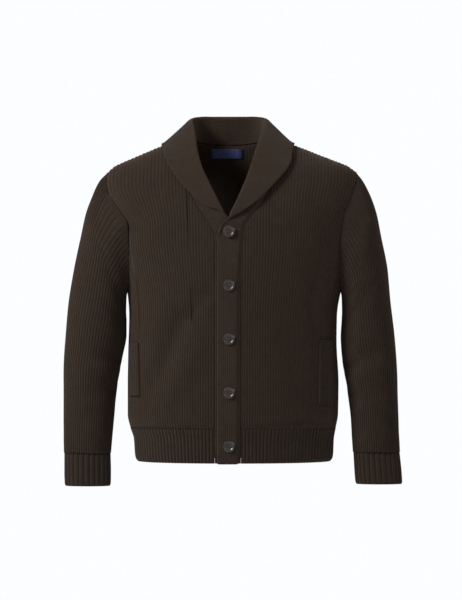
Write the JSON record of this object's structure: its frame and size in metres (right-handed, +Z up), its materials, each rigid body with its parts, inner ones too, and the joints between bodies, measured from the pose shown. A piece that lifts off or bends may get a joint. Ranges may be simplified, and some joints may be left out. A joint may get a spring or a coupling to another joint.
{
  "type": "shawl collar cardigan",
  "caption": "Knitted shawl collar cardigan in a worn, hollow form, with a buttoned front band, ribbed hem and cuffs, and side pocket welts.",
  "frame": {"origin": "nape: the middle of the back neck seam, where the wearer's neck and shoulders hold it", "axes": "+Z up, +X to the wearer's left, +Y to the back"},
  "size_m": [0.708, 0.2525, 0.7783],
  "materials": {
    "knit": "dark brown rib knit, matt",
    "rib": "dark brown wide rib, matt",
    "band": "dark brown fine rib, matt",
    "label": "plain navy woven tape",
    "horn": "dark horn, satin to gloss"
  },
  "bodies": {
    "root": {"back_panel": "knit", "front_panel_left": "knit", "front_panel_right": "knit", "hem_rib_back": "rib", "hem_rib_front_left": "rib", "hem_rib_front_right": "rib", "sleeve_left": "knit", "sleeve_right": "knit", "cuff_left": "rib", "cuff_right": "rib", "shawl_band": "band", "pocket_welt_left": "rib", "pocket_welt_right": "rib", "neck_label": "label", "button_1": "horn", "button_2": "horn", "button_3": "horn", "button_4": "horn", "button_5": "horn"}
  },
  "joints": []
}
